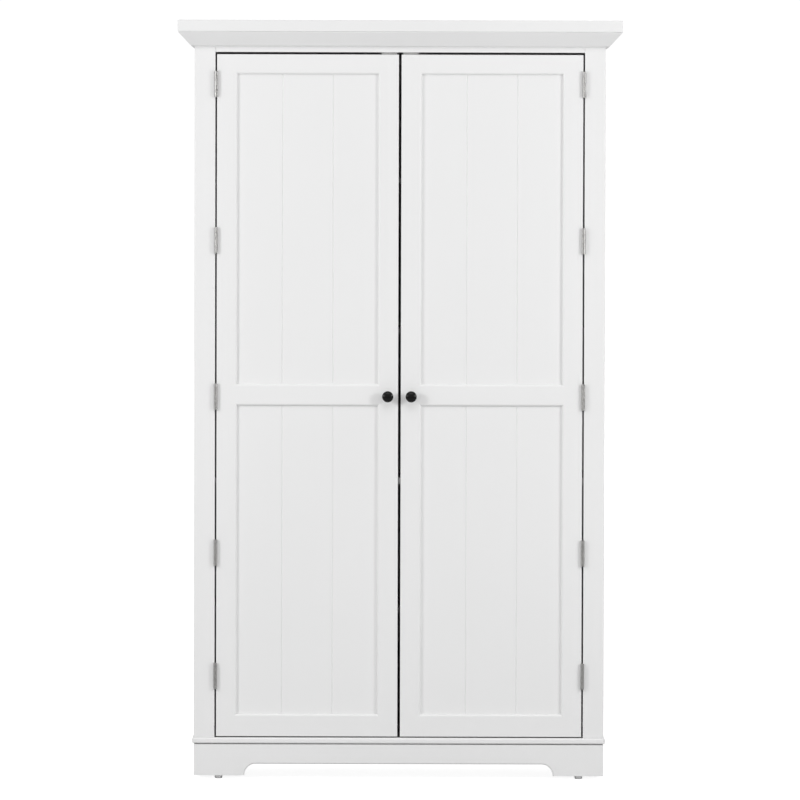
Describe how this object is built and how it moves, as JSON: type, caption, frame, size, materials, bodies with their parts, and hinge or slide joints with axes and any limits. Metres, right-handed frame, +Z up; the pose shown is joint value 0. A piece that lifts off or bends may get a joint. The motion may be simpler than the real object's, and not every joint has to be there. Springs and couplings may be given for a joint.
{
  "type": "pantry cabinet",
  "caption": "Tall free-standing pantry cabinet with a crowned top, two framed plank doors on butt hinges, round knobs, inner shelves and an arched bracket plinth.",
  "frame": {"origin": "on the floor, under the middle of the bounding box of the closed cabinet", "axes": "+Z up, -Y towards the front, +X to the right as seen from the front"},
  "size_m": [1.07, 0.4, 1.83],
  "materials": {
    "white_paint": "smooth satin white paint on wood board",
    "shelf_board": "white laminated board with white edging",
    "back_board": "thin white-faced hardboard",
    "hinge_steel": "satin nickel plated steel",
    "knob_black": "gloss black coated metal",
    "glide_steel": "bright plated steel",
    "catch_plastic": "white moulded plastic"
  },
  "bodies": {
    "carcass": {"adjustable_shelf_1": "shelf_board", "adjustable_shelf_2": "shelf_board", "adjustable_shelf_3": "shelf_board", "back_panel": "back_board", "base_board": "white_paint", "crown_front": "white_paint", "crown_left": "white_paint", "crown_right": "white_paint", "face_rail_top": "white_paint", "face_stile_left": "white_paint", "face_stile_right": "white_paint", "fixed_shelf": "shelf_board", "glide_front_left": "glide_steel", "glide_front_right": "glide_steel", "glide_rear_left": "glide_steel", "glide_rear_right": "glide_steel", "hinge_left_1_frame_leaf": "hinge_steel", "hinge_left_2_frame_leaf": "hinge_steel", "hinge_left_3_frame_leaf": "hinge_steel", "hinge_left_4_frame_leaf": "hinge_steel", "hinge_left_5_frame_leaf": "hinge_steel", "hinge_right_1_frame_leaf": "hinge_steel", "hinge_right_2_frame_leaf": "hinge_steel", "hinge_right_3_frame_leaf": "hinge_steel", "hinge_right_4_frame_leaf": "hinge_steel", "hinge_right_5_frame_leaf": "hinge_steel", "magnetic_catch_left": "catch_plastic", "magnetic_catch_right": "catch_plastic", "plinth_front": "white_paint", "plinth_left": "white_paint", "plinth_right": "white_paint", "side_panel_left": "white_paint", "side_panel_right": "white_paint", "top_board": "white_paint"},
    "door_left": {"door_left_panel_lower": "white_paint", "door_left_panel_upper": "white_paint", "door_left_rail_bottom": "white_paint", "door_left_rail_mid": "white_paint", "door_left_rail_top": "white_paint", "door_left_stile_inner": "white_paint", "door_left_stile_outer": "white_paint", "hinge_left_1_door_leaf": "hinge_steel", "hinge_left_2_door_leaf": "hinge_steel", "hinge_left_3_door_leaf": "hinge_steel", "hinge_left_4_door_leaf": "hinge_steel", "hinge_left_5_door_leaf": "hinge_steel", "knob_left": "knob_black"},
    "door_right": {"door_right_panel_lower": "white_paint", "door_right_panel_upper": "white_paint", "door_right_rail_bottom": "white_paint", "door_right_rail_mid": "white_paint", "door_right_rail_top": "white_paint", "door_right_stile_inner": "white_paint", "door_right_stile_outer": "white_paint", "hinge_right_1_door_leaf": "hinge_steel", "hinge_right_2_door_leaf": "hinge_steel", "hinge_right_3_door_leaf": "hinge_steel", "hinge_right_4_door_leaf": "hinge_steel", "hinge_right_5_door_leaf": "hinge_steel", "knob_right": "knob_black"}
  },
  "joints": [
    {"name": "door_left_swing", "type": "hinge", "parent": "carcass", "child": "door_left", "pos_m": [-0.443, -0.1645, 0.9262], "axis": [0, 0, -1], "range_deg": [0, 180]},
    {"name": "door_right_swing", "type": "hinge", "parent": "carcass", "child": "door_right", "pos_m": [0.443, -0.1645, 0.9262], "axis": [0, 0, 1], "range_deg": [0, 180]}
  ]
}
